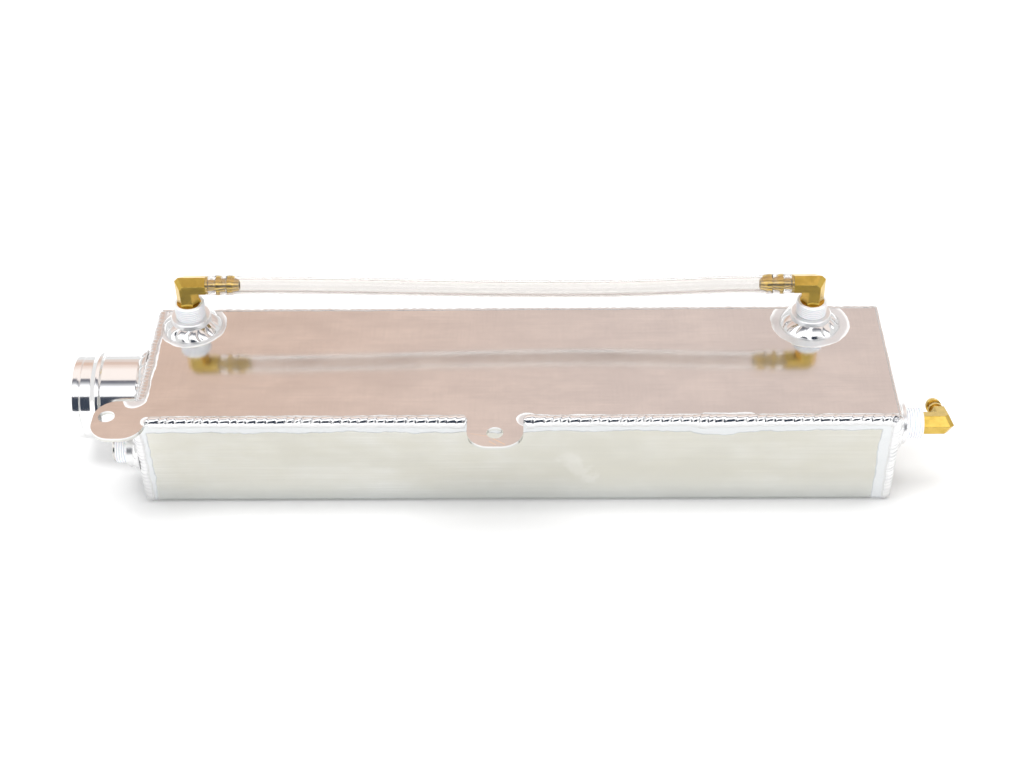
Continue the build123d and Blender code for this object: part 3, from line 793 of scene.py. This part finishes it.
def tab_seams():
    """The two fillet beads under the tabs."""
    low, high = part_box("middle_tab_weld")
    wall_top = high.z / MM
    start = Vector((low.x / MM, -HALF_W, wall_top))
    bead(
        "middle_tab_weld_bead", run_along(start, X, (high.x - low.x) / MM),
        lambda point, tangent: (-Y, -Z), (3.0, 3.0), 0.4, ["middle_tab_weld"], RING_WELD,
        outside=False,
    )
    low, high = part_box("corner_tab_weld")
    start = Vector((-HALF_L, low.y / MM, wall_top))
    bead(
        "corner_tab_weld_bead", run_along(start, Y, (high.y - low.y) / MM),
        lambda point, tangent: (-X, -Z), (3.0, 3.0), 0.4, ["corner_tab_weld"], RING_WELD,
        outside=False,
    )


front_seams()
back_seam()
end_seam(
    "left_end_weld", -HALF_L, 1,
    [(CORNER_TAB_BACK, HEIGHT), (HALF_W, HEIGHT), (HALF_W, 0), (-HALF_W, 0), (-HALF_W, HEIGHT - 2.5)],
    1.05, 0.3,
)
end_seam(
    "right_end_weld", HALF_L, -1,
    [(-HALF_W + 0.5, HEIGHT), (HALF_W, HEIGHT), (HALF_W, 0), (-HALF_W, 0), (-HALF_W, HEIGHT)],
    0.35, 0.5,
)
on_top = [Vector((spot.x, spot.y, HEIGHT)) for spot in (LEFT_SIGHT, RIGHT_SIGHT)]
return_foot = Vector((HALF_L, RETURN.y, RETURN.z))
drain_foot = Vector((-HALF_L, DRAIN.y, DRAIN.z))
neck_foot = Vector((-HALF_L, NECK.y, NECK.z))
ring_bead("left_sight_bung_weld", on_top[0], Z, X, BUNG_R, (6.1, 5.4), 0.35, inside_back_edge)
ring_bead("right_sight_bung_weld", on_top[1], Z, X, BUNG_R, (6.1, 5.4), 0.35, inside_back_edge)
ring_bead("return_bung_weld", return_foot, X, Y, BUNG_R, (3.5, 3.3), 0.5)
ring_bead("drain_bung_weld", drain_foot, -X, Y, DRAIN_BUNG_R, (3.5, 4.2), 0.5)
ring_bead("neck_weld", neck_foot, -X, Y, NECK_R, (5.1, 6.0), 0.8)
tab_seams()


# ---------------------------------------------------------------- hose neck
def hose_neck():
    """A beaded stub, turned from an outline of (radius, distance from the mouth)."""
    low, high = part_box("hose_neck")
    length = (high.x - low.x) / MM
    outline = [
        (NECK_BORE_R, length), (NECK_R, length),
        (NECK_R, 17.3), (26.5, 17.0), (27.45, 16.5), (27.6, 15.5), (27.6, 14.6), (27.2, 13.9),
        (NECK_R, 11.3), (NECK_R, 5.3), (NECK_R - 0.4, 4.9), (NECK_R, 4.5),
        (NECK_R, 0.5), (NECK_R - 0.5, 0), (NECK_BORE_R + 0.6, 0), (NECK_BORE_R, 0.6),
    ]
    points, faces = lathe(
        softened(outline, 0.35), Vector((low.x / MM, NECK.y, NECK.z)), X, Y, 192
    )
    add_piece(
        "hose_neck_turned", points, faces, NECK_METAL,
        stands_for=["hose_neck"],
    )


hose_neck()

# ---------------------------------------------------------------- thread tape
THREAD_R = 8.4  # the male thread at its shoulder
TAPER = 1 / 32
THREAD_PITCH = 1.411
TAPE_THICK = 0.25


def tape(name, shoulder, axis, side, exposed, body="tank", lip=0.0):
    """Tape wrapped on a thread; axis points from the fitting's shoulder into the bung. The
    tape folds inward over the thread's end by the lip."""
    other = axis.cross(side)
    chance = Random(name)
    salt = Vector((chance.uniform(0, 50), 0, 0))
    around, depth = 120, exposed + 1.2
    rows = int(depth / 0.11)
    points, crests = [], []
    for k in range(around):
        turn = k / around
        outward = side * cos(2 * pi * turn) + other * sin(2 * pi * turn)
        column = []
        for row in range(rows + 1):
            down = depth * row / rows
            base = THREAD_R - down * TAPER
            phase = (down / THREAD_PITCH + turn) % 1.0
            crest = sin(pi * phase) ** 0.7
            wrap = 0.07 * ((down / 3.1 + turn) % 1.0)
            crease = 0.05 * lattice.noise(salt + outward * 5 + axis * down * 1.6)
            ends = min(1.0, down / 0.5 + 0.2, (depth - down) / 1.4 + 0.1)
            radius = base + TAPE_THICK + ends * (0.42 * crest + wrap + crease)
            column.append((radius, down))
            crests.append(crest)
        fold = THREAD_R + 0.03 - lip * (1 + 0.25 * lattice.noise(salt + outward * 1.7))
        crests += [1.0] * 5
        column.append((THREAD_R - depth * TAPER + 0.03, depth))
        column.append((THREAD_R + 0.03, -0.03))
        column.append((fold, -0.03))
        column.append((fold + 0.02, -0.28))
        column.append((THREAD_R + 0.1, -0.36))
        points += [shoulder + outward * radius + axis * down for radius, down in column]
    faces = loft((around, rows + 6), closed_along=True)
    piece = add_piece(name + "_wrap", points, faces, TAPE, body, [name])
    piece.data.attributes.new("crest", "FLOAT", "POINT").data.foreach_set("value", crests)


def end_of(name, axis, high):
    """The middle of a node's box, moved to one end of it along an axis."""
    place = middle(name)
    place[axis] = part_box(name)[1 if high else 0][axis] / MM
    return place


tape("left_sight_tape", end_of("left_sight_tape", 2, True), -Z, X, 9.3, lip=1.3)
tape("right_sight_tape", end_of("right_sight_tape", 2, True), -Z, X, 8.1, lip=1.3)
tape("return_tape", end_of("return_tape", 0, True), -X, Y, 9.6, lip=0.8)
tape("drain_tape", end_of("drain_tape", 0, False), X, Y, 6.6, "plug_wrap", 0.0)


# ---------------------------------------------------------------- sight tube
# The points that the tube's centreline follows, as (x, z) in the plane of the two elbows.
TUBE_ROUTE = [
    (-182.5, 93.9),
    (-142.0, 93.9),
    (-85.0, 92.4),
    (-20.0, 90.4),
    (46.0, 89.6),
    (84.0, 90.5),
    (123.5, 92.7),
    (162.9, 92.7),
]
TUBE_R = 5.0
TUBE_BORE_R = 3.5
BARB_REACH = 19.5  # how far a barb goes into the tube
RIDGES = (7.0, 14.2)  # where its ridges stretch the tube


def tube_line():
    """The tube's centreline, read from a NURBS spline through its route."""
    curve = bpy.data.curves.new("tube_line", "CURVE")
    curve.dimensions = "3D"
    curve.resolution_u = 24
    spline = curve.splines.new("NURBS")
    spline.points.add(len(TUBE_ROUTE) - 1)
    for point, (x, z) in zip(spline.points, TUBE_ROUTE):
        point.co = (x * MM, LEFT_SIGHT.y * MM, z * MM, 1)
    spline.order_u = 3
    spline.use_endpoint_u = True
    holder = bpy.data.objects.new("tube_line", curve)
    bpy.context.scene.collection.objects.link(holder)
    bpy.context.view_layer.update()
    mesh = bpy.data.meshes.new_from_object(
        holder.evaluated_get(bpy.context.evaluated_depsgraph_get())
    )
    line = [vertex.co / MM for vertex in mesh.vertices]
    bpy.data.objects.remove(holder)
    return line


def stretch(distance):
    """How much a barb widens the tube this far from its end."""
    if distance > BARB_REACH + 3.5:
        return 0.0
    fade = 1 - max(0.0, min(1.0, (distance - 17.0) / 5.0))
    fade = fade * fade * (3 - 2 * fade)
    waist = 0.55 * fade
    return waist + sum(0.4 * exp(-(((distance - ridge) / 1.8) ** 2)) for ridge in RIDGES)


# How wide the tube's bore is, as (distance from its end, radius): it lies on the barb's ridges.
BORE_PROFILE = [
    (0.0, 4.4), (1.5, 4.3), (2.5, 3.6), (5.3, 3.6), (6.3, 4.49), (7.6, 4.49), (12.0, 3.7),
    (12.9, 4.49), (15.6, 4.49), (19.0, 3.55), (21.0, TUBE_BORE_R),
]


def bore_radius(distance):
    for (near, first), (far, second) in zip(BORE_PROFILE, BORE_PROFILE[1:]):
        if distance < far:
            return first + (second - first) * (distance - near) / (far - near)
    return TUBE_BORE_R


def sight_tube():
    line = tube_line()
    dense = []
    for first, second in zip(line, line[1:]):
        count = max(1, round((second - first).length / 0.7))
        dense += [first.lerp(second, i / count) for i in range(count)]
    dense.append(line[-1])
    run = [0.0]
    for first, second in zip(dense, dense[1:]):
        run.append(run[-1] + (second - first).length)
    length = run[-1]
    around = 64
    outer, inner = [], []
    for i, centre in enumerate(dense):
        ahead = dense[min(i + 1, len(dense) - 1)] - dense[max(i - 1, 0)]
        across = Y.cross(ahead).normalized()
        wider = stretch(min(run[i], length - run[i]))
        lip = exp(-min(run[i], length - run[i]) / 0.35) * 0.25
        bore = bore_radius(min(run[i], length - run[i]))
        for k in range(around):
            turn = 2 * pi * k / around
            outward = Y * cos(turn) + across * sin(turn)
            outer.append(centre + outward * (TUBE_R + wider - lip))
            inner.append(centre + outward * bore)
    rings = len(dense)
    points = outer
    for i in reversed(range(rings)):
        points = points + inner[i * around:(i + 1) * around]
    faces = loft((2 * rings, around), closed_along=True)
    piece = add_piece("sight_tube_vinyl", points, faces, VINYL, stands_for=["sight_tube"])


sight_tube()


# ---------------------------------------------------------------- studio
def studio_light():
    """Plain white light, and in reflections a room: a warm card above and behind, a soft
    box in front of it, a grey strip between them and a dark gap low in front."""
    world = bpy.data.worlds.new("studio")
    bpy.context.scene.world = world
    world.use_nodes = True
    tree = world.node_tree
    direction = tree.nodes.new("ShaderNodeTexCoord").outputs["Generated"]
    parts = node(tree, "ShaderNodeSeparateXYZ", {0: direction}).outputs
    height = calc(tree, "MAXIMUM", parts[2], 0.02)
    aside = calc(tree, "ABSOLUTE", calc(tree, "DIVIDE", parts[0], height))
    back = calc(tree, "DIVIDE", parts[1], height)
    sideways = calc(tree, "DIVIDE", calc(tree, "ABSOLUTE", parts[0]),
                    calc(tree, "MAXIMUM", calc(tree, "MULTIPLY", parts[1], -1.0), 0.02))
    open_side = calc(tree, "MAXIMUM", step(tree, parts[1], -0.4, -0.05),
                     step(tree, sideways, 0.5, 0.85))
    room = mix(tree, open_side, (0.05, 0.062, 0.09, 1), (0.93, 0.93, 0.93, 1))
    salmon = mix(
        tree, step(tree, calc(tree, "DIVIDE", parts[0], height), -0.4, 0.15),
        (0.82, 0.60, 0.49, 1), (0.81, 0.67, 0.615, 1),
    )
    card = mix(tree, step(tree, back, 0.45, 0.85), (1.15, 1.04, 0.98, 1), (0.98, 0.81, 0.73, 1))
    card = mix(tree, step(tree, back, 0.85, 1.12), card, salmon)

    # The card's front edge is a little further back on the left.
    turned = step(tree, calc(tree, "DIVIDE", parts[0], height), -0.245, -0.205, 0.11, 0.0)
    back_turned = calc(tree, "SUBTRACT", back, turned)

    def strip(low, high, near_edge, far_edge, colour, under, depth=back):
        """A surface overhead from low to high, as the depth behind per height."""
        share = calc(
            tree, "MULTIPLY",
            step(tree, depth, low - near_edge, low + near_edge),
            step(tree, depth, high - far_edge, high + far_edge, 1.0, 0.0),
        )
        share = calc(tree, "MULTIPLY", share, step(tree, aside, 1.5, 2.2, 1.0, 0.0))
        return mix(tree, share, under, colour)

    room = strip(-1.15, 0.02, 0.03, 0.02, (2.0, 2.0, 2.02, 1), room)
    room = strip(-0.42, -0.08, 0.25, 0.03, (0.18, 0.185, 0.22, 1), room, back_turned)
    room = strip(1.44, 2.7, 0.04, 0.3, (0.88, 0.76, 0.70, 1), room)
    room = strip(-0.10, 1.48, 0.04, 0.08, card, room, back_turned)
    rays = node(tree, "ShaderNodeLightPath").outputs
    mirrored = calc(tree, "MAXIMUM", rays["Is Glossy Ray"], rays["Is Transmission Ray"])
    plain = mix(tree, rays["Is Camera Ray"], grey(0.52), grey(1.0))
    tree.links.new(mix(tree, mirrored, plain, room), tree.nodes["Background"].inputs["Color"])


def soft_light(name, place, target, size, power):
    """An area light that casts soft shadows and isn't mirrored in the metal; size is its
    width and its depth."""
    data = bpy.data.lights.new(name, "AREA")
    data.shape = "RECTANGLE"
    data.size, data.size_y = size
    data.energy = power
    light = bpy.data.objects.new(name, data)
    bpy.context.scene.collection.objects.link(light)
    light.location = place
    aim = Vector(target) - Vector(place)
    light.rotation_euler = aim.to_track_quat("-Z", "Y").to_euler()
    light.visible_glossy = False
    light.visible_transmission = False
    light.visible_camera = False


def make_floor():
    """Pale paper that glows more the further it is from the tank, so it fades to white; the glow is
    painted light, and near the tank and past its ends it lifts the shadows there.
    """
    mesh = bpy.data.meshes.new("floor")
    reach = 12.0
    corners = [(-reach, -reach, 0), (reach, -reach, 0), (reach, reach, 0), (-reach, reach, 0)]
    mesh.from_pydata(corners, [], [(0, 1, 2, 3)])
    floor = bpy.data.objects.new("floor", mesh)
    floor.location.z = -0.05 * MM
    bpy.context.scene.collection.objects.link(floor)
    material, tree, shader, place = new_material("floor paper", Roughness=0.8)
    shader.inputs["Base Color"].default_value = grey(0.90)
    shader.inputs["Emission Color"].default_value = grey(1.0)
    half_way = HALF_L - HALF_W
    from_tank = line_distance(tree, place, (-half_way, 0, 0), (half_way, 0, 0))
    # Painted light: a faint glow near the tank lifts its shadow on the floor.
    near = step(tree, from_tank, (HALF_W + 3) * MM, 0.12, 0.0, 0.09)
    far = step(tree, from_tank, 0.12, 0.7, 0.0, 0.55)
    glow = calc(tree, "ADD", near, far)
    sideways = node(tree, "ShaderNodeSeparateXYZ", {0: place}).outputs[0]
    past_end = calc(tree, "SUBTRACT", calc(tree, "ABSOLUTE", sideways), HALF_L * MM)
    # Painted light: the floor past each end of the tank glows to lift the shadows beside the ends.
    glow = calc(tree, "ADD", glow, step(tree, past_end, -4 * MM, 14 * MM, 0.0, 0.12))
    tree.links.new(glow, shader.inputs["Emission Strength"])
    mesh.materials.append(material)


studio_light()
soft_light("overhead", (0, 0.04, 1.5), (0, 0.04, 0), (2.4, 0.42), 17)
soft_light("front fill", (0.3, -1.8, 0.7), (0, 0, 0), (1.4, 0.8), 16)
soft_light("back fill", (-0.6, 1.8, 0.8), (0, 0, 0), (1.4, 0.8), 11)
make_floor()
bpy.context.scene.view_settings.view_transform = "Standard"
bpy.context.scene.view_settings.look = "None"
